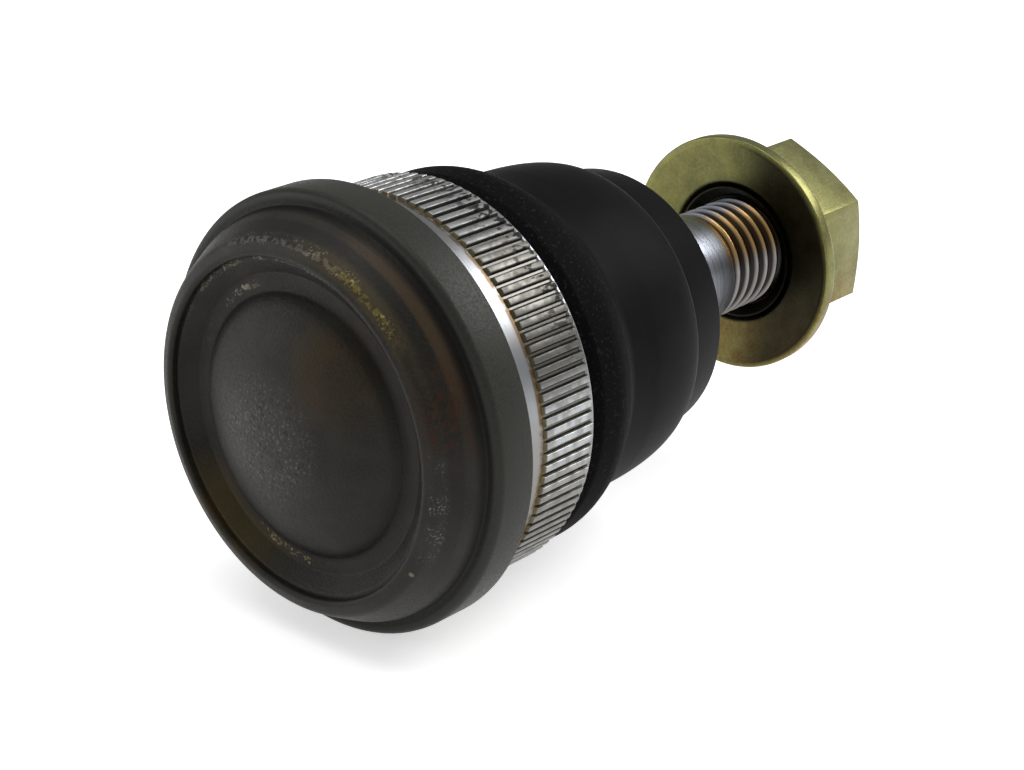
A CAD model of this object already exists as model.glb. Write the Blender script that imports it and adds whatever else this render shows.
import math

import bmesh
import bpy
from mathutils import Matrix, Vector


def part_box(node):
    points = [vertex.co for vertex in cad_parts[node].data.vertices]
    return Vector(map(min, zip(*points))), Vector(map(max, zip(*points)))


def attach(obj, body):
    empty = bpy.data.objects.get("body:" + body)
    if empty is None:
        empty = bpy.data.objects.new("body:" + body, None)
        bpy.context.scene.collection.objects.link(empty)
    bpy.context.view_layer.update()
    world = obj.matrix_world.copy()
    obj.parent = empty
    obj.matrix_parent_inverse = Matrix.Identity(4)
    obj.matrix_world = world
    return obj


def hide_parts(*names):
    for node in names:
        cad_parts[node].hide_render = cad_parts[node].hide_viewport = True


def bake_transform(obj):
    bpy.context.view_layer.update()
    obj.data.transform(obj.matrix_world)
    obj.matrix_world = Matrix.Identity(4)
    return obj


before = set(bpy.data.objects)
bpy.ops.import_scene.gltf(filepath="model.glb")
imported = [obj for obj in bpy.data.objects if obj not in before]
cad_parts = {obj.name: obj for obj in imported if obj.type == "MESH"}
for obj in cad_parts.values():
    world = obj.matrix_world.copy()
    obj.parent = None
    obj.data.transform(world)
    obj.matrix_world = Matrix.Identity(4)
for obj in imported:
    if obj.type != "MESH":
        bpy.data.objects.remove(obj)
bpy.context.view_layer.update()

# Press-in suspension ball joint, lying with its stud along +Y and its cover towards -Y.
# The origin is the centre of the ball. Outlines are in millimetres, Blender works in metres.
MM = 0.001


def corner(node, which):
    """Lowest (0) or highest (1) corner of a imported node, in millimetres."""
    return Vector(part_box(node)[which]) / MM


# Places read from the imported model
flange_radius = corner("housing", 1).x
boot_seat_end_y = corner("housing", 1).y
cover_radius = corner("cover_plate", 1).x
foot_front_y = corner("dust_boot", 0).y
foot_radius = corner("dust_boot", 1).x
cuff_end_y = corner("dust_boot", 1).y
washer_face_y = corner("nut_washer", 0).y
washer_back_y = corner("nut_washer", 1).y
washer_radius = corner("nut_washer", 1).x
nut_end_y = corner("hex_nut", 1).y
nut_corner_radius = corner("hex_nut", 1).z
nut_flat_radius = nut_corner_radius * math.cos(math.pi / 6)
stud_end_y = corner("ball_stud", 1).y
ball_radius = corner("ball_stud", 1).x

# Steps round the turned pieces and along a rounded corner of their outline
AROUND_BODY = 216
AROUND_STUD = 128
ROUNDING_STEPS = 5

# How near two points count as one, and how near a point is found, in metres
SAME_POINT = 1e-7
FOUND_POINT = 1e-6


# Modelling steps used by several pieces

def only_select(piece):
    """Makes one object the active and only selected one."""
    bpy.ops.object.select_all(action="DESELECT")
    piece.select_set(True)
    bpy.context.view_layer.objects.active = piece


def select_vertices(piece, wanted):
    """In edit mode, selects the vertices whose place passes a test."""
    mesh = bmesh.from_edit_mesh(piece.data)
    bpy.ops.mesh.select_all(action="DESELECT")
    for vertex in mesh.verts:
        if wanted(vertex.co):
            vertex.select_set(True)
    mesh.select_flush_mode()
    bmesh.update_edit_mesh(piece.data)


def arc(centre, radius, first, last, steps):
    """Points (radius, y) on an arc round a centre, angles in degrees from the radial direction."""
    points = []
    for i in range(steps + 1):
        angle = math.radians(first + (last - first) * i / steps)
        points.append((centre[0] + radius * math.cos(angle), centre[1] + radius * math.sin(angle)))
    return points


def setback(before, point, after, rounding):
    """How far from a corner its rounding begins, kept under half of the shorter edge."""
    towards_before = Vector(before[:2]) - Vector(point[:2])
    towards_after = Vector(after[:2]) - Vector(point[:2])
    half_angle = towards_before.angle(towards_after) / 2
    under_half = 0.48 * min(towards_before.length, towards_after.length)
    return min(rounding / math.tan(half_angle), under_half)


def turned(name, outline, around=AROUND_BODY, closed=True):
    """A piece turned about the stud axis: its outline is drawn, rounded and spun.

    A point of the outline is (radius, y), or (radius, y, rounding) where its corner is rounded.
    """
    bpy.ops.object.select_all(action="DESELECT")
    bpy.ops.mesh.primitive_plane_add(size=MM, location=(0, 0, 0))
    piece = bpy.context.object
    piece.name = name
    bpy.ops.object.mode_set(mode="EDIT")
    bpy.ops.mesh.select_all(action="SELECT")
    bpy.ops.mesh.merge(type="CENTER")
    bpy.ops.transform.translate(value=(outline[0][0] * MM, outline[0][1] * MM, 0))
    path = outline + [outline[0]] if closed else outline
    for here, there in zip(path, path[1:]):
        step = ((there[0] - here[0]) * MM, (there[1] - here[1]) * MM, 0)
        bpy.ops.mesh.extrude_region_move(TRANSFORM_OT_translate={"value": step})
    bpy.ops.mesh.select_all(action="SELECT")
    bpy.ops.mesh.remove_doubles(threshold=SAME_POINT)
    count = len(outline)
    for i, point in enumerate(outline):
        if len(point) < 3:
            continue
        place = Vector((point[0] * MM, point[1] * MM, 0))
        select_vertices(piece, lambda co: (co - place).length < FOUND_POINT)
        width = setback(outline[i - 1], point, outline[(i + 1) % count], point[2])
        bpy.ops.mesh.bevel(
            offset=width * MM, offset_type="OFFSET", affect="VERTICES", segments=ROUNDING_STEPS,
        )
    bpy.ops.mesh.select_all(action="SELECT")
    bpy.ops.mesh.spin(steps=around, angle=2 * math.pi, center=(0, 0, 0), axis=(0, 1, 0))
    bpy.ops.mesh.select_all(action="SELECT")
    bpy.ops.mesh.remove_doubles(threshold=SAME_POINT)
    bpy.ops.mesh.normals_make_consistent(inside=False)
    bpy.ops.object.mode_set(mode="OBJECT")
    bpy.ops.object.shade_smooth_by_angle(angle=math.radians(28))
    return piece


def combine(piece, tool, operation):
    """Applies a boolean of one piece with another and removes the tool."""
    only_select(piece)
    modifier = piece.modifiers.new("cut", "BOOLEAN")
    modifier.object = tool
    modifier.operation = operation
    modifier.solver = "EXACT"
    bpy.ops.object.modifier_apply(modifier=modifier.name)
    bpy.data.objects.remove(tool, do_unlink=True)


# Housing: flange, plain pilot, band and rolled lip turned in one piece

press_radius = 23.25
root_radius = 22.83
pilot_radius = 22.9
collar_radius = press_radius - 0.22
band_front_y = -3.15
band_back_y = 5.15
teeth_end_y = band_back_y - 0.4
flange_back_y = -7.2
flange_front_y = -12.45
shoulder_radius = 23.1
shoulder_y = -13.9
cover_face_y = -17.2
cover_seat_y = -15.7
seat_wall_radius = cover_radius + 0.05
lead_in_radius = 19.1
lead_in_end_y = -12.8
lip_inner_radius = 19.25
lip_crest_y = -18.0
lip_outer_radius = 21.8
bore_radius = 16.2
bore_end_y = 7.2
mouth_radius = 12.7
mouth_flare_radius = 14.6
boot_seat_radius = 18.25
boot_rim_radius = 18.9
boot_rim_y = boot_seat_end_y - 1.1

housing = turned("forged_housing", [
    (lip_inner_radius, cover_face_y),
    (lip_inner_radius, lip_crest_y + 0.2, 0.3),
    (lip_inner_radius + 0.5, lip_crest_y, 0.8),
    (lip_outer_radius - 0.7, lip_crest_y + 0.45, 1.2),
    (lip_outer_radius, cover_face_y + 0.8, 2.0),
    (shoulder_radius, shoulder_y, 0.5),
    (shoulder_radius + 0.4, flange_front_y, 0.3),
    (flange_radius, flange_front_y, 1.2),
    (flange_radius, flange_back_y, 0.3),
    (pilot_radius, flange_back_y, 0.5),
    (pilot_radius, band_front_y + 0.1, 0.1),
    (root_radius, band_front_y + 0.2),
    (root_radius, teeth_end_y - 0.15),
    (collar_radius, teeth_end_y, 0.1),
    (collar_radius, band_back_y, 0.2),
    (boot_seat_radius, band_back_y),
    (boot_seat_radius, boot_rim_y),
    (boot_rim_radius, boot_rim_y, 0.3),
    (boot_rim_radius, boot_seat_end_y, 0.3),
    (mouth_flare_radius, boot_seat_end_y, 0.3),
    (mouth_radius, bore_end_y),
    (bore_radius, bore_end_y),
    (bore_radius, lead_in_end_y),
    (lead_in_radius, cover_seat_y),
    (seat_wall_radius, cover_seat_y),
    (seat_wall_radius, cover_face_y),
])
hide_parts("housing")
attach(housing, "housing")

# Serrations: one tooth, copied round the band. It is sunk a little into the housing's root.

tooth_count = 108
tooth_top_width = 0.66
tooth_base_width = 1.2
tooth_sink = 0.12
tooth_end_fall = 0.45
tooth_rounding = 0.05

tooth_length = teeth_end_y - band_front_y
tooth_height = press_radius - root_radius + tooth_sink
tooth_middle_radius = press_radius - tooth_height / 2
tooth_middle_y = band_front_y + tooth_length / 2
bpy.ops.object.select_all(action="DESELECT")
bpy.ops.mesh.primitive_cube_add(size=MM, location=(0, 0, 0))
serrations = bpy.context.object
serrations.name = "press_serrations"
bpy.ops.object.mode_set(mode="EDIT")
bpy.ops.mesh.select_all(action="SELECT")
bpy.ops.transform.resize(value=(tooth_height, tooth_length, tooth_base_width))
bpy.ops.transform.translate(value=(tooth_middle_radius * MM, tooth_middle_y * MM, 0))
select_vertices(serrations, lambda co: co.x > tooth_middle_radius * MM)
bpy.ops.transform.resize(
    value=(1, (tooth_length - tooth_end_fall) / tooth_length, tooth_top_width / tooth_base_width),
    center_override=(press_radius * MM, teeth_end_y * MM, 0),
)
bpy.ops.mesh.bevel(offset=tooth_rounding * MM, segments=2, affect="EDGES")
bpy.ops.mesh.select_all(action="SELECT")
bpy.ops.mesh.spin(
    steps=tooth_count - 1, dupli=True, angle=2 * math.pi * (tooth_count - 1) / tooth_count,
    center=(0, 0, 0), axis=(0, 1, 0),
)
bpy.ops.mesh.select_all(action="SELECT")
bpy.ops.mesh.normals_make_consistent(inside=False)
bpy.ops.object.mode_set(mode="OBJECT")
bpy.ops.object.shade_smooth_by_angle(angle=math.radians(40))
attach(serrations, "housing")

# Cover plate: dome, ring-shaped valley and rim of one pressed sheet

plate_thickness = 1.5
valley_y = cover_face_y + 1.5
valley_inner_radius = 15.1
valley_outer_radius = 17.0
rim_inner_radius = 18.8
dome_radius = 14.2
dome_edge_y = valley_y - 1.05
dome_rise = 3.0
sphere_radius = (dome_radius ** 2 + dome_rise ** 2) / 2 / dome_rise
dome_angle = math.degrees(math.asin(dome_radius / sphere_radius))


def dome_line(edge_y, steps):
    """Points of the dome from its pole to its edge."""
    centre_y = edge_y - dome_rise + sphere_radius
    points = arc((0, centre_y), sphere_radius, -90, -90 + dome_angle, steps)
    return [(0, edge_y - dome_rise)] + points[1:]


cover = turned("pressed_cover", dome_line(dome_edge_y, 14) + [
    (valley_inner_radius, valley_y, 0.8),
    (valley_outer_radius, valley_y, 0.5),
    (rim_inner_radius, cover_face_y, 0.5),
    (cover_radius, cover_face_y, 0.3),
    (cover_radius, cover_seat_y, 0.3),
    (rim_inner_radius, cover_seat_y, 0.5),
    (valley_outer_radius, valley_y + plate_thickness, 0.5),
    (valley_inner_radius, valley_y + plate_thickness, 0.8),
] + dome_line(dome_edge_y + plate_thickness, 8)[::-1], closed=False)
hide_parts("cover_plate")
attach(cover, "housing")

# Dust boot: foot, barrel, ridge and cuff outside, collar and hollow inside

ring_outer_radius = 19.1
foot_face_radius = 21.75
foot_back_radius = 21.95
foot_bore_radius = 19.2
foot_bore_y = 11.2
foot_bore_end_y = 12.7
waist_radius = 19.75
waist_y = 15.7
bulge = (19.95, 20.5)
ridge = (18.3, 29.6)
cuff_start_radius = 17.75
cuff_start_y = 30.6
cuff_end_radius = 16.6
cuff_floor_y = 32.7
boot_wall = 2.2
boot_collar_radius = 9.8
boot_collar_front_y = 30.8
boot_collar_end_y = 36.2
garter_floor_radius = 9.3
garter_y = 34.6
collar_hole_front_radius = 8.49
collar_hole_end_radius = 8.16
hollow_top = (16.1, 28.2)
hollow_middle_y = 21.9


def barrel_line(steps):
    """Points from the bulge to the ridge, on a quarter of an oval."""
    points = []
    for i in range(1, steps + 1):
        angle = math.pi / 2 * i / steps
        radius = ridge[0] + (bulge[0] - ridge[0]) * math.cos(angle)
        points.append((radius, bulge[1] + (ridge[1] - bulge[1]) * math.sin(angle)))
    return points


boot = turned("dust_boot_rubber", [
    (ring_outer_radius, foot_front_y),
    (foot_face_radius, foot_front_y, 0.3),
    (foot_radius - 0.1, foot_front_y + 1.3, 0.8),
    (foot_radius + 0.12, foot_front_y + 4.6, 8.0),
    (foot_back_radius, foot_front_y + 6.6, 2.0),
    (waist_radius, waist_y, 2.0),
    (bulge[0], bulge[1], 12.0),
] + barrel_line(10) + [
    (cuff_start_radius + 0.05, cuff_start_y - 0.5, 0.3),
    (cuff_start_radius, cuff_start_y, 0.5),
    (cuff_end_radius, cuff_end_y, 0.8),
    (cuff_end_radius - boot_wall, cuff_end_y, 0.5),
    (cuff_end_radius - boot_wall, cuff_floor_y, 0.8),
    (boot_collar_radius, cuff_floor_y, 0.5),
    (boot_collar_radius, garter_y - 0.85),
    (garter_floor_radius, garter_y - 0.43),
    (garter_floor_radius, garter_y + 0.43),
    (boot_collar_radius, garter_y + 0.85),
    (boot_collar_radius, boot_collar_end_y, 0.5),
    (collar_hole_end_radius, boot_collar_end_y),
    (collar_hole_front_radius, boot_collar_front_y),
    (boot_collar_radius, boot_collar_front_y, 0.8),
    (hollow_top[0], hollow_top[1], 2.0),
    (waist_radius - 2.0, hollow_middle_y, 6.0),
    (waist_radius - boot_wall, waist_y, 2.0),
    (foot_bore_radius, foot_bore_end_y, 0.5),
    (foot_bore_radius, foot_bore_y),
    (ring_outer_radius, foot_bore_y),
])
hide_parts("dust_boot")
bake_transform(boot)

# Ball stud and its thread

ball_flat_radius = 4.0
neck_radius = 6.6
neck_end_y = 16.0
stud_shoulder_radius = 8.994
stud_shoulder_y = 22.0
taper_end_radius = 7.1
taper_end_y = 52.3
runout_length = 0.75
thread_radius = 7.0
thread_root_radius = 5.85
thread_pitch = 2.0
thread_base_width = thread_pitch * 0.92
thread_crest_share = 0.14
thread_crest_rounding = 0.06
thread_sink = 0.1
end_chamfer_length = 1.0
end_chamfer_depth = 0.9
centre_hole_radius = 1.5
centre_hole_depth = 3.0
flat_angle = math.degrees(math.acos(ball_flat_radius / ball_radius))
neck_angle = math.degrees(math.acos(neck_radius / ball_radius))

stud = turned("taper_stud", [
    (0, -ball_radius * math.sin(math.radians(flat_angle))),
] + arc((0, 0), ball_radius, -flat_angle, neck_angle, 60) + [
    (neck_radius, neck_end_y, 6.0),
    (stud_shoulder_radius, stud_shoulder_y, 1.5),
    (taper_end_radius, taper_end_y, 0.25),
    (thread_root_radius, taper_end_y + runout_length, 0.2),
    (thread_root_radius, stud_end_y - end_chamfer_length),
    (thread_root_radius - end_chamfer_depth, stud_end_y),
    (centre_hole_radius, stud_end_y),
    (0, stud_end_y - centre_hole_depth),
], around=AROUND_STUD, closed=False)
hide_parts("ball_stud")
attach(stud, "stud")


def thread_coil(name, root_radius, crest_radius, first_y, last_y):
    """A right-hand thread ridge: its section is drawn, then swept by a Screw modifier."""
    bpy.ops.object.select_all(action="DESELECT")
    bpy.ops.mesh.primitive_plane_add(size=MM, location=(0, 0, 0))
    coil = bpy.context.object
    coil.name = name
    bpy.ops.object.mode_set(mode="EDIT")
    bpy.ops.mesh.select_all(action="SELECT")
    middle = (root_radius + crest_radius) / 2
    bpy.ops.transform.resize(value=(crest_radius - root_radius, thread_base_width, 1))
    bpy.ops.transform.translate(value=(middle * MM, first_y * MM, 0))
    select_vertices(coil, lambda co: co.x > middle * MM)
    bpy.ops.transform.resize(value=(1, thread_crest_share, 1), center_override=(0, first_y * MM, 0))
    bpy.ops.mesh.bevel(offset=thread_crest_rounding * MM, affect="VERTICES", segments=2)
    bpy.ops.mesh.select_all(action="SELECT")
    bpy.ops.mesh.delete(type="ONLY_FACE")
    bpy.ops.object.mode_set(mode="OBJECT")
    turns = (last_y - first_y) / thread_pitch
    screw = coil.modifiers.new("sweep", "SCREW")
    screw.axis = "Y"
    screw.angle = -2 * math.pi * turns
    screw.screw_offset = (last_y - first_y) * MM
    screw.steps = screw.render_steps = int(AROUND_STUD * turns)
    screw.use_smooth_shade = True
    only_select(coil)
    bpy.ops.object.modifier_apply(modifier=screw.name)
    return coil


def close_ends(coil):
    """Caps the two open ends of a coil and turns its faces outwards."""
    only_select(coil)
    bpy.ops.object.mode_set(mode="EDIT")
    bpy.ops.mesh.select_all(action="DESELECT")
    bpy.ops.mesh.select_mode(type="EDGE")
    bpy.ops.mesh.select_non_manifold()
    bpy.ops.mesh.edge_face_add()
    bpy.ops.mesh.select_mode(type="VERT")
    bpy.ops.mesh.select_all(action="SELECT")
    bpy.ops.mesh.normals_make_consistent(inside=False)
    bpy.ops.object.mode_set(mode="OBJECT")
    bpy.ops.object.shade_smooth_by_angle(angle=math.radians(35))


# The coil's foot is sunk a little into the thread's root, and the coil starts inside the end of
# the taper, so that it runs out of the metal there.
thread = thread_coil("stud_thread", thread_root_radius - thread_sink, thread_radius,
                     taper_end_y - thread_pitch / 2, stud_end_y - thread_pitch)
close_ends(thread)
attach(thread, "stud")

# Dished washer

washer_hole_radius = 8.5
hole_flare = 0.9
washer_dish = 0.85
washer_edge_width = 0.9

washer = turned("dished_washer", [
    (washer_hole_radius, washer_back_y),
    (washer_radius, washer_back_y, 0.5),
    (washer_radius, washer_face_y, 0.3),
    (washer_radius - washer_edge_width, washer_face_y, 0.3),
    (washer_hole_radius + hole_flare, washer_face_y + washer_dish, 0.4),
    (washer_hole_radius, washer_face_y + washer_dish + hole_flare),
])
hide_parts("nut_washer")
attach(washer, "washer")

# Hexagon nut: a six-sided bar, cut to a turned blank that chamfers both ends, and drilled. It sits
# a hair off the washer, so that their faces don't lie in one plane while it turns.

nut_bore_radius = 7.05
nut_face_y = washer_back_y + 0.01
nut_length = nut_end_y - nut_face_y
bore_chamfer = 1.2
nut_edge_rounding = 0.12
cut_margin = 0.2
face_margin = 0.001
chamfer_slope = math.tan(math.radians(25))
blank_radius = nut_corner_radius + cut_margin
base_radius = nut_corner_radius - 0.6
face_radius = nut_flat_radius - 0.4

bpy.ops.object.select_all(action="DESELECT")
bpy.ops.mesh.primitive_cylinder_add(
    vertices=6, radius=nut_corner_radius * MM, depth=nut_length * MM,
    location=(0, (nut_face_y + nut_length / 2) * MM, 0), rotation=(math.pi / 2, 0, 0),
)
nut = bpy.context.object
nut.name = "hexagon_nut"
bpy.ops.object.transform_apply(location=True, rotation=True, scale=True)
blank = turned("nut_blank", [
    (0, nut_face_y - face_margin),
    (base_radius, nut_face_y - face_margin),
    (blank_radius, nut_face_y + (blank_radius - base_radius) * chamfer_slope),
    (blank_radius, nut_end_y - (blank_radius - face_radius) * chamfer_slope),
    (face_radius, nut_end_y + face_margin),
    (0, nut_end_y + face_margin),
], closed=False)
combine(nut, blank, "INTERSECT")
hole = turned("nut_hole", [
    (0, washer_back_y - 1.0),
    (nut_bore_radius, washer_back_y - 1.0),
    (nut_bore_radius, nut_end_y - 1.0),
    (nut_bore_radius + bore_chamfer, nut_end_y + cut_margin),
    (0, nut_end_y + cut_margin),
], around=AROUND_STUD, closed=False)
combine(nut, hole, "DIFFERENCE")
bevel = nut.modifiers.new("edges", "BEVEL")
bevel.width = nut_edge_rounding * MM
bevel.segments = 2
bevel.limit_method = "ANGLE"
bevel.angle_limit = math.radians(35)
only_select(nut)
bpy.ops.object.modifier_apply(modifier=bevel.name)
bpy.ops.object.shade_smooth_by_angle(angle=math.radians(30))
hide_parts("hex_nut")
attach(nut, "nut")

# The nut's collar, flared at its tip to hold the washer

nut_collar_radius = 8.2
collar_root_y = washer_back_y + 0.3
collar_tip_y = washer_back_y - 1.15

nut_collar = turned("nut_collar", [
    (nut_bore_radius, collar_root_y),
    (nut_collar_radius, collar_root_y),
    (nut_collar_radius, collar_tip_y + 0.6),
    (nut_collar_radius + 0.6, collar_tip_y, 0.15),
    (nut_collar_radius + 0.3, collar_tip_y, 0.1),
    (nut_bore_radius, collar_tip_y + 1.4),
], around=AROUND_STUD)
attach(nut_collar, "nut")


# Steps used by the materials

def hex_colour(code):
    """Linear colour from an sRGB hex value."""
    channels = []
    for i in (0, 2, 4):
        value = int(code[i:i + 2], 16) / 255
        channels.append(value / 12.92 if value <= 0.04045 else ((value + 0.055) / 1.055) ** 2.4)
    return (*channels, 1.0)


def add_node(tree, kind, settings=None, inputs=None):
    """Adds a node with its settings and with values or links on its inputs."""
    made = tree.nodes.new(kind)
    for key, value in (settings or {}).items():
        setattr(made, key, value)
    for key, value in (inputs or {}).items():
        if isinstance(value, bpy.types.NodeSocket):
            tree.links.new(value, made.inputs[key])
        else:
            made.inputs[key].default_value = value
    return made


def start_material(name, metallic, roughness, specular):
    """A new material with its constants set: returns it, its node tree and its shader."""
    material = bpy.data.materials.new(name)
    material.use_nodes = True
    shader = material.node_tree.nodes["Principled BSDF"]
    shader.inputs["Metallic"].default_value = metallic
    shader.inputs["Roughness"].default_value = roughness
    shader.inputs["Specular IOR Level"].default_value = specular
    return material, material.node_tree, shader


def place_in_mm(tree):
    """Place on a piece, in mm from the centre of the ball."""
    metres = add_node(tree, "ShaderNodeTexCoord").outputs["Object"]
    scaled = add_node(tree, "ShaderNodeVectorMath", {"operation": "SCALE"},
                      {0: metres, "Scale": 1 / MM})
    return scaled.outputs[0]


def from_axis(tree, place):
    """Distance from the stud axis, in mm."""
    flat = add_node(tree, "ShaderNodeVectorMath", {"operation": "MULTIPLY"}, {0: place, 1: (1, 0, 1)})
    radius = add_node(tree, "ShaderNodeVectorMath", {"operation": "LENGTH"}, {0: flat.outputs[0]})
    return radius.outputs["Value"]


def ramp(tree, value, low, high):
    """Smooth mask that is 0 below one value and 1 above the other (either may be the larger)."""
    step = add_node(tree, "ShaderNodeMapRange", {"interpolation_type": "SMOOTHSTEP"}, {
        "Value": value, "From Min": min(low, high), "From Max": max(low, high),
        "To Min": 0 if low < high else 1, "To Max": 1 if low < high else 0,
    })
    return step.outputs[0]


def grain(tree, place, size, low, high, detail=2.0):
    """Mask of uneven patches about so many mm apart: higher limits leave fewer patches."""
    noise = add_node(tree, "ShaderNodeTexNoise", None,
                     {"Vector": place, "Scale": 1 / size, "Detail": detail})
    return ramp(tree, noise.outputs[0], low, high)


def turning_marks(tree, along, feed):
    """Mask of fine lines round the stud axis, about so many mm apart."""
    only_along = add_node(tree, "ShaderNodeCombineXYZ", None, {"Y": along})
    return grain(tree, only_along.outputs[0], feed, 0.3, 0.7)


def spot(tree, place, centre, full, reach):
    """Mask round a place in mm: 1 up to a distance, 0 from the reach on."""
    away = add_node(tree, "ShaderNodeVectorMath", {"operation": "DISTANCE"}, {0: place, 1: centre})
    return ramp(tree, away.outputs["Value"], reach, full)


def product(tree, first, *others):
    """Mask that is only there where all the given masks are."""
    for other in others:
        first = add_node(tree, "ShaderNodeMath", {"operation": "MULTIPLY"},
                         {0: first, 1: other}).outputs[0]
    return first


def band(tree, value, low, high, soft):
    """Mask of a value between two limits, soft on both sides."""
    return product(tree, ramp(tree, value, low - soft, low), ramp(tree, value, high + soft, high))


def set_colour(tree, shader, ground, layers):
    """Ground colour with layers of (mask, strength, hex colour) laid over it in turn."""
    colour = hex_colour(ground)
    for mask, strength, code in layers:
        colour = add_node(tree, "ShaderNodeMix", {"data_type": "RGBA"},
                          {0: product(tree, mask, strength), 6: colour, 7: hex_colour(code)}).outputs[2]
    tree.links.new(colour, shader.inputs["Base Color"])


def set_roughness(tree, shader, mask, least, most):
    """Roughness that goes from one value to another with a mask."""
    step = add_node(tree, "ShaderNodeMapRange", None, {"Value": mask, "To Min": least, "To Max": most})
    tree.links.new(step.outputs[0], shader.inputs["Roughness"])


def set_relief(tree, shader, height, depth):
    """Fine relief of a surface, its height given as a mask and its depth in mm."""
    bump = add_node(tree, "ShaderNodeBump", None,
                    {"Height": height, "Distance": depth * MM, "Strength": 0.6})
    tree.links.new(bump.outputs[0], shader.inputs["Normal"])


# Phosphated forged steel, oiled: a dark, uneven olive-brown skin that is worn to cream and gold
# specks along the lip's ridge and rusts where oil has dried. The crystals of the skin are too fine
# to show, so its grain is drawn 0.3 mm coarse.
phosphated_steel, tree, shader = start_material("phosphated_forged_steel", 0.1, 0.5, 0.16)
place = place_in_mm(tree)
radius = from_axis(tree, place)
along = add_node(tree, "ShaderNodeSeparateXYZ", None, {0: place}).outputs["Y"]
broad = grain(tree, place, 7.0, 0.38, 0.62, 3.0)
fine = grain(tree, place, 0.3, 0.4, 0.7)
specks = product(tree, grain(tree, place, 0.28, 0.54, 0.66), grain(tree, place, 2.2, 0.4, 0.62))
ridge_specks = product(tree, band(tree, radius, 20.8, 21.5, 0.3), specks)
worn_line = product(tree, band(tree, radius, 20.95, 21.2, 0.25), grain(tree, place, 0.7, 0.4, 0.6))
gold_place = spot(tree, place, (10.0, -17.6, 18.6), 3.0, 9.0)
pale_place = spot(tree, place, (-1.0, -17.6, 21.0), 5.0, 11.0)
ridge_tint = product(tree, band(tree, radius, 20.5, 21.6, 0.5),
                     spot(tree, place, (10.5, -17.6, 18.3), 2.0, 13.0))
ridge_blue = product(tree, band(tree, radius, 20.6, 21.6, 0.4), specks,
                     spot(tree, place, (21.2, -17.4, -3.5), 2.0, 8.0))
bead = product(tree, band(tree, radius, 22.75, 23.2, 0.25),
               spot(tree, place, (15.5, -13.6, 16.5), 6.0, 15.0))
crease = product(tree, band(tree, radius, 23.35, 24.1, 0.3), ramp(tree, along, -12.2, -12.5))
slope_shade = band(tree, radius, 21.9, 22.5, 0.25)
inner_shade = ramp(tree, radius, 20.3, 19.6)
rust = product(tree, spot(tree, place, (22.4, -15.2, 7.5), 1.5, 8.0),
               grain(tree, place, 0.9, 0.4, 0.62), band(tree, radius, 20.0, 23.2, 0.3))
lower_stain = product(tree, spot(tree, place, (-12.0, -17.2, -15.5), 2.0, 11.0),
                      grain(tree, place, 3.0, 0.35, 0.6))
scratch = spot(tree, place, (17.3, -17.3, -11.2), 0.25, 0.55)
flange_skin = ramp(tree, radius, 23.6, 24.4)
set_colour(tree, shader, "1f1d19", [
    (broad, 1.0, "292722"),
    (flange_skin, 1.0, "2b2c27"),
    (fine, 0.3, "3b3932"),
    (slope_shade, 0.5, "15130f"),
    (inner_shade, 0.25, "15130f"),
    (ridge_tint, 0.6, "433a25"),
    (bead, 0.6, "453623"),
    (rust, 0.6, "38200f"),
    (lower_stain, 0.5, "3f3318"),
    (product(tree, worn_line, gold_place), 0.7, "6f6233"),
    (product(tree, worn_line, pale_place), 0.7, "5c5a58"),
    (product(tree, ridge_specks, gold_place), 0.7, "a3955e"),
    (product(tree, ridge_specks, pale_place), 0.6, "827f72"),
    (ridge_blue, 0.8, "70747a"),
    (crease, 0.8, "0c0b09"),
    (scratch, 1.0, "96907c"),
])
set_roughness(tree, shader, fine, 0.42, 0.56)
set_relief(tree, shader, fine, 0.015)

# Phosphated pressed sheet steel, oiled: the same dark skin, drawn as coarse, with a paler pitted
# patch on the crown of the dome, a golden-brown oil stain beside it and bare specks on the bends.
phosphated_cover, tree, shader = start_material("phosphated_pressed_steel", 0.1, 0.5, 0.16)
place = place_in_mm(tree)
radius = from_axis(tree, place)
broad = grain(tree, place, 6.0, 0.38, 0.62, 3.0)
fine = grain(tree, place, 0.3, 0.4, 0.7)
crown = spot(tree, place, (-2.5, -19.5, -1.5), 4.0, 9.5)
light_specks = product(tree, crown, grain(tree, place, 0.4, 0.55, 0.68))
dark_specks = product(tree, crown, grain(tree, place, 0.55, 0.57, 0.66, 1.0))
oil_depth = add_node(tree, "ShaderNodeMapRange", None, {"Value": broad, "To Min": 0.5}).outputs[0]
oil_stain = product(tree, spot(tree, place, (7.0, -18.0, 8.5), 1.0, 8.5), oil_depth)
low_stain = product(tree, spot(tree, place, (-11.0, -16.5, -13.5), 3.0, 10.0),
                    ramp(tree, radius, 15.2, 17.0))
specks = product(tree, grain(tree, place, 0.3, 0.5, 0.62), grain(tree, place, 1.8, 0.42, 0.6))
bend_specks = product(tree, band(tree, radius, 15.8, 16.5, 0.2), specks)
upper_specks = product(tree, bend_specks, spot(tree, place, (-11.2, -16.0, 11.2), 3.0, 7.0))
bottom_specks = product(tree, bend_specks, spot(tree, place, (-2.2, -16.0, -15.7), 3.0, 8.0))
seam_specks = product(tree, band(tree, radius, 18.7, 19.2, 0.15), specks,
                      spot(tree, place, (-3.0, -17.2, 18.5), 9.0, 19.0))
valley_shade = band(tree, radius, 14.3, 15.4, 0.4)
rim_shade = ramp(tree, radius, 18.9, 19.2)
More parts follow.
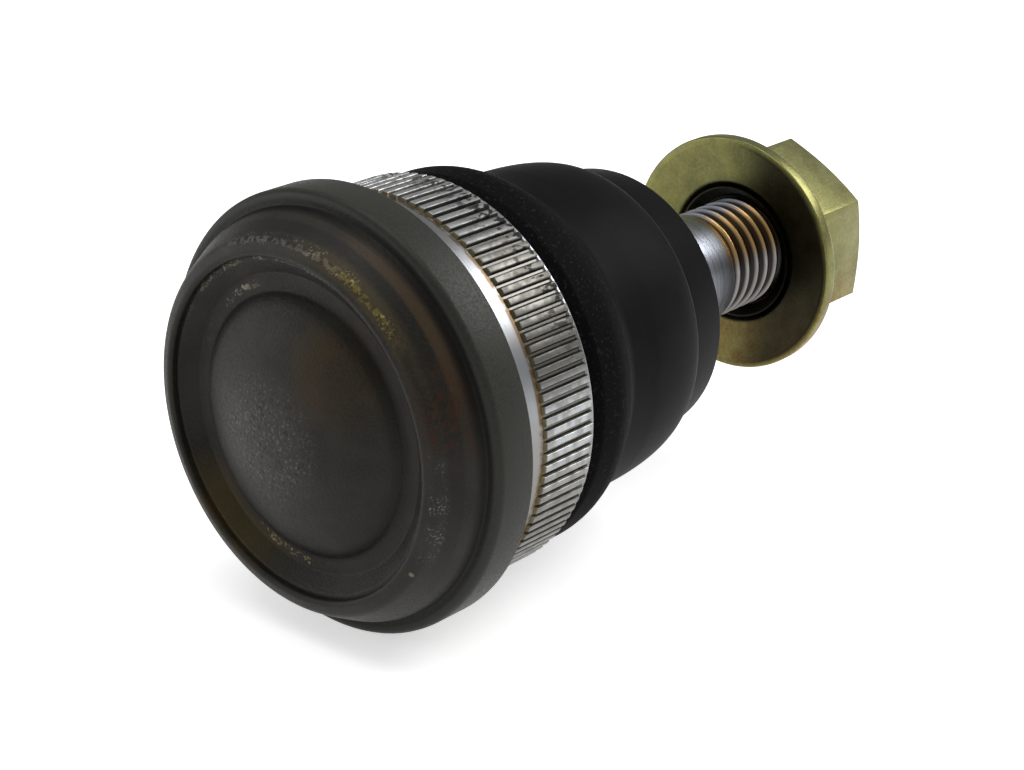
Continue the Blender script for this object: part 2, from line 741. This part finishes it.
set_colour(tree, shader, "161410", [
    (broad, 1.0, "201e19"),
    (fine, 0.3, "322f29"),
    (crown, 0.75, "34322e"),
    (oil_stain, 0.7, "38290f"),
    (low_stain, 0.6, "3f3418"),
    (valley_shade, 0.5, "141310"),
    (rim_shade, 0.3, "100f0c"),
    (light_specks, 0.4, "6f6d67"),
    (dark_specks, 0.75, "141310"),
    (upper_specks, 0.9, "8f8b78"),
    (bottom_specks, 0.9, "8a7b52"),
    (seam_specks, 0.8, "7a745f"),
])
set_roughness(tree, shader, fine, 0.42, 0.56)
pitted = add_node(tree, "ShaderNodeMath", {"operation": "SUBTRACT"}, {0: fine, 1: dark_specks})
set_relief(tree, shader, pitted.outputs[0], 0.025)

# Turned bright steel: silver with fine lathe lines, duller and beige on its lower side, with
# gold-brown rust in the line where the teeth start. Real lathe lines are too fine to show, so they
# are drawn 0.15 mm apart.
turned_steel, tree, shader = start_material("turned_bright_steel", 1.0, 0.32, 0.5)
place = place_in_mm(tree)
radius = from_axis(tree, place)
axes = add_node(tree, "ShaderNodeSeparateXYZ", None, {0: place}).outputs
lathe_lines = turning_marks(tree, axes["Y"], 0.15)
lower_side = ramp(tree, axes["Z"], 9.0, -8.0)
rust_line = product(tree, band(tree, axes["Y"], -3.4, -2.9, 0.3), grain(tree, place, 0.9, 0.32, 0.55))
dull_patches = grain(tree, place, 2.5, 0.45, 0.65, 3.0)
between_teeth = product(tree, ramp(tree, radius, 22.88, 22.85), ramp(tree, axes["Y"], -3.1, -2.9))
set_colour(tree, shader, "8e9094", [
    (lathe_lines, 0.4, "787a7c"),
    (dull_patches, 0.4, "85827a"),
    (lower_side, 0.8, "76726a"),
    (between_teeth, 0.85, "5a5852"),
    (rust_line, 0.85, "5a4522"),
])
set_roughness(tree, shader, lathe_lines, 0.26, 0.4)
set_relief(tree, shader, lathe_lines, 0.01)

# Cold-formed serrated steel: bright worn lands between dark flanks, with dark pits near the back
# edge and a trace of rust at the front ends.
serrated_steel, tree, shader = start_material("cold_formed_serrated_steel", 1.0, 0.45, 0.5)
place = place_in_mm(tree)
radius = from_axis(tree, place)
axes = add_node(tree, "ShaderNodeSeparateXYZ", None, {0: place}).outputs
land = ramp(tree, radius, 23.12, 23.22)
lower_side = ramp(tree, axes["Z"], 1.0, -8.0)
tarnish = spot(tree, place, (17.8, 0.8, 13.6), 6.5, 13.0)
drawn_out = add_node(tree, "ShaderNodeVectorMath", {"operation": "MULTIPLY"},
                     {0: place, 1: (1, 0.5, 1)}).outputs[0]
pits = product(tree, grain(tree, drawn_out, 0.6, 0.52, 0.58), ramp(tree, axes["Y"], -1.5, 3.5),
               ramp(tree, axes["Z"], 4.0, 15.0))
wear = grain(tree, place, 1.2, 0.38, 0.65, 3.0)
front_end = ramp(tree, axes["Y"], -2.65, -2.8)
front_rust = product(tree, ramp(tree, axes["Y"], -2.7, -3.1), grain(tree, place, 0.9, 0.42, 0.62))
set_colour(tree, shader, "36342e", [
    (land, 1.0, "a5a8aa"),
    (front_end, 0.9, "5a5340"),
    (product(tree, land, wear), 0.5, "7d7b75"),
    (product(tree, land, tarnish), 0.85, "5b5850"),
    (product(tree, land, lower_side), 0.8, "6f6c66"),
    (front_rust, 0.8, "5e4826"),
    (pits, 0.95, "1c1a17"),
])
set_roughness(tree, shader, wear, 0.36, 0.52)
set_relief(tree, shader, wear, 0.02)

# Moulded rubber: satin charcoal on the barrel, blacker on the cuff, and matte with pale dust
# specks on the foot. The mould's grain is too fine to show, so it is drawn 0.25 mm coarse.
moulded_rubber, tree, shader = start_material("moulded_rubber", 0.0, 0.6, 0.045)
place = place_in_mm(tree)
along = add_node(tree, "ShaderNodeSeparateXYZ", None, {0: place}).outputs["Y"]
foot = ramp(tree, along, 14.5, 12.5)
cuff = ramp(tree, along, 29.8, 30.6)
haze = grain(tree, place, 5.0, 0.35, 0.65, 3.0)
dust = product(tree, foot, grain(tree, place, 0.4, 0.58, 0.68))
rubbed_ridge = band(tree, along, 29.1, 29.7, 0.35)
fine = grain(tree, place, 0.25, 0.35, 0.65)
set_colour(tree, shader, "0a0a0a", [
    (haze, 0.6, "101010"),
    (foot, 1.0, "060607"),
    (dust, 0.6, "252529"),
    (rubbed_ridge, 0.8, "2c2c2b"),
    (cuff, 1.0, "030303"),
])
set_roughness(tree, shader, foot, 0.52, 0.7)
set_relief(tree, shader, fine, 0.012)

# Rolled and turned bare steel: bluish silver with fine turning lines, dark oil in the thread's
# grooves and a warm tint on the crests. The lines are drawn 0.2 mm apart so that they show.
rolled_steel, tree, shader = start_material("rolled_bare_steel", 1.0, 0.3, 0.5)
place = place_in_mm(tree)
radius = from_axis(tree, place)
axes = add_node(tree, "ShaderNodeSeparateXYZ", None, {0: place}).outputs
turning_lines = turning_marks(tree, axes["Y"], 0.2)
threaded = band(tree, axes["Y"], 53.0, 71.4, 0.6)
groove = product(tree, threaded, ramp(tree, radius, 6.9, 6.5))
warm = product(tree, ramp(tree, axes["Y"], 50.8, 52.0), ramp(tree, axes["Z"], 0.5, 3.5),
               ramp(tree, axes["X"], -0.5, 3.0))
below = product(tree, threaded, ramp(tree, axes["Z"], 2.5, 0.0))
set_colour(tree, shader, "a9adb6", [
    (turning_lines, 0.4, "8a8d94"),
    (warm, 0.8, "c79a48"),
    (below, 0.7, "675d50"),
    (groove, 0.95, "1f1b17"),
])
set_roughness(tree, shader, turning_lines, 0.24, 0.38)
set_relief(tree, shader, turning_lines, 0.01)

# Yellow passivated zinc on steel: olive-gold that drifts towards orange and green, with a dark
# film of oil on the washer's face and a dull dark rim inside its hole. The crystals of the zinc are
# too fine to show, so its grain is drawn 0.4 mm coarse.
yellow_zinc, tree, shader = start_material("yellow_passivated_zinc", 0.9, 0.4, 0.5)
place = place_in_mm(tree)
radius = from_axis(tree, place)
axes = add_node(tree, "ShaderNodeSeparateXYZ", None, {0: place}).outputs
drift = grain(tree, place, 9.0, 0.35, 0.65, 1.0)
cloud = grain(tree, place, 2.5, 0.35, 0.7, 3.0)
fine = grain(tree, place, 0.4, 0.4, 0.65)
orange_depth = add_node(tree, "ShaderNodeMapRange", None, {"Value": cloud, "To Min": 0.4}).outputs[0]
low_orange = product(tree, ramp(tree, axes["Z"], 2.0, -10.0), orange_depth)
washer_face = product(tree, ramp(tree, axes["Y"], 61.6, 61.3), ramp(tree, radius, 15.3, 14.7))
oil_film = product(tree, washer_face, ramp(tree, axes["X"], -3.0, 7.0))
hole_rim = product(tree, ramp(tree, radius, 9.8, 9.2), ramp(tree, axes["Y"], 63.0, 62.2))
set_colour(tree, shader, "6f6e40", [
    (drift, 0.7, "797544"),
    (cloud, 0.4, "656a46"),
    (low_orange, 0.7, "735125"),
    (fine, 0.25, "8e8b60"),
    (oil_film, 0.9, "1c160b"),
    (hole_rim, 0.95, "100e09"),
])
set_roughness(tree, shader, cloud, 0.34, 0.48)
set_relief(tree, shader, fine, 0.01)

# Moulded acetal: milky off-white with a faint cloudiness and a thin film of grease.
acetal, tree, shader = start_material("moulded_acetal", 0.0, 0.42, 0.5)
cloud = grain(tree, place_in_mm(tree), 3.0, 0.35, 0.65)
set_colour(tree, shader, "dcdad0", [(cloud, 0.5, "cfcbb8")])
set_roughness(tree, shader, cloud, 0.36, 0.5)

# Oiled spring steel: dark blue-grey strip with slightly uneven tempering colours.
spring_steel, tree, shader = start_material("oiled_spring_steel", 1.0, 0.38, 0.5)
cloud = grain(tree, place_in_mm(tree), 2.0, 0.35, 0.65)
set_colour(tree, shader, "55585e", [(cloud, 0.6, "6b6558")])
set_roughness(tree, shader, cloud, 0.3, 0.45)

# Black phosphated strip: matte black with a thin grey edge where the coating rubs off.
black_steel, tree, shader = start_material("black_phosphated_strip", 0.4, 0.55, 0.4)
place = place_in_mm(tree)
rubbed = product(tree, ramp(tree, from_axis(tree, place), 20.6, 21.2), grain(tree, place, 0.8, 0.4, 0.6))
set_colour(tree, shader, "1c1c1c", [(rubbed, 0.6, "56544f")])


def finish_with(piece, *materials):
    """Puts materials in a piece's slots."""
    piece.data.materials.clear()
    for material in materials:
        piece.data.materials.append(material)


# The housing is phosphated, except where it is turned bright behind the flange.
finish_with(housing, phosphated_steel, turned_steel)
for face in housing.data.polygons:
    middle = face.center / MM
    if middle.y > flange_back_y + 0.02 and math.hypot(middle.x, middle.z) > boot_seat_radius - 0.1:
        face.material_index = 1
finish_with(serrations, serrated_steel)
finish_with(cover, phosphated_cover)
finish_with(boot, moulded_rubber)
finish_with(stud, rolled_steel)
finish_with(thread, rolled_steel)
finish_with(washer, yellow_zinc)
finish_with(nut, yellow_zinc)
finish_with(nut_collar, yellow_zinc)
for node, material in {
    "boot_ring": black_steel,
    "neck_ring": spring_steel,
    "preload_spring": spring_steel,
    "lower_bearing": acetal,
    "upper_bearing": acetal,
}.items():
    finish_with(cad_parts[node], material)

# Floor

floor_size = 40

bpy.ops.object.select_all(action="DESELECT")
bpy.ops.mesh.primitive_plane_add(size=floor_size, location=(0, 0, -flange_radius * MM))
floor = bpy.context.object
floor.name = "floor"

# Matte white paper: seen directly or in a reflection it also shines a little, so that the
# background stays white and only the shadow is darker.
paper_glow = 0.55
floor_paper, tree, shader = start_material("matte_white_paper", 0.0, 0.9, 0.2)
shader.inputs["Base Color"].default_value = hex_colour("f4f4f4")
shader.inputs["Emission Color"].default_value = hex_colour("ffffff")
path = add_node(tree, "ShaderNodeLightPath")
seen = add_node(tree, "ShaderNodeMath", {"operation": "MAXIMUM"},
                {0: path.outputs["Is Camera Ray"], 1: path.outputs["Is Glossy Ray"]}).outputs[0]
seen = add_node(tree, "ShaderNodeMath", {"operation": "MAXIMUM"},
                {0: seen, 1: path.outputs["Is Transmission Ray"]}).outputs[0]
tree.links.new(product(tree, seen, paper_glow), shader.inputs["Emission Strength"])
finish_with(floor, floor_paper)

# Light: an even white sky and three soft boxes

world = bpy.data.worlds.new("studio")
bpy.context.scene.world = world
world.use_nodes = True
world.node_tree.nodes["Background"].inputs["Color"].default_value = (1, 1, 1, 1)
world.node_tree.nodes["Background"].inputs["Strength"].default_value = 0.4


def soft_box(name, place, aim, size, power):
    """A square area lamp at a place, turned towards a point."""
    lamp_data = bpy.data.lights.new(name, "AREA")
    lamp_data.size = size
    lamp_data.energy = power
    lamp = bpy.data.objects.new(name, lamp_data)
    bpy.context.collection.objects.link(lamp)
    lamp.location = place
    lamp.rotation_mode = "QUATERNION"
    lamp.rotation_quaternion = (Vector(aim) - Vector(place)).to_track_quat("-Z", "Y")


soft_box("key_behind_right", (0.3, 0.55, 0.5), (0, 0.02, 0), 0.4, 4)
soft_box("overhead", (-0.1, -0.1, 0.7), (0, 0.02, 0), 0.5, 2)
soft_box("left_fill", (-0.5, -0.4, 0.15), (0, 0, 0), 0.3, 0.8)

# Camera, placed so that the front of the serrated band has its centre at one pixel of the picture

view_azimuth = math.radians(41.58)
view_elevation = math.radians(22.25)
view_distance = 255.7
picture_width = 1024
picture_middle = (512, 385)
focal_pixels = 2300
band_centre_pixel = (387.0, 392.4)
film_width = 36

back = Vector((
    math.sin(view_azimuth) * math.cos(view_elevation),
    -math.cos(view_azimuth) * math.cos(view_elevation),
    math.sin(view_elevation),
))
right = Vector((math.cos(view_azimuth), math.sin(view_azimuth), 0))
up = back.cross(right)
pixel_size = view_distance * MM / focal_pixels
aim = Vector((0, band_front_y * MM, 0))
aim += right * (picture_middle[0] - band_centre_pixel[0]) * pixel_size
aim -= up * (picture_middle[1] - band_centre_pixel[1]) * pixel_size
camera_data = bpy.data.cameras.new("camera")
camera = bpy.data.objects.new("camera", camera_data)
bpy.context.collection.objects.link(camera)
camera_data.sensor_width = film_width
camera_data.lens = film_width * focal_pixels / picture_width
camera_data.clip_start = 0.01
camera.location = aim + back * view_distance * MM
camera.rotation_mode = "QUATERNION"
camera.rotation_quaternion = (-back).to_track_quat("-Z", "Y")
bpy.context.scene.camera = camera
bpy.context.scene.view_settings.view_transform = "Standard"
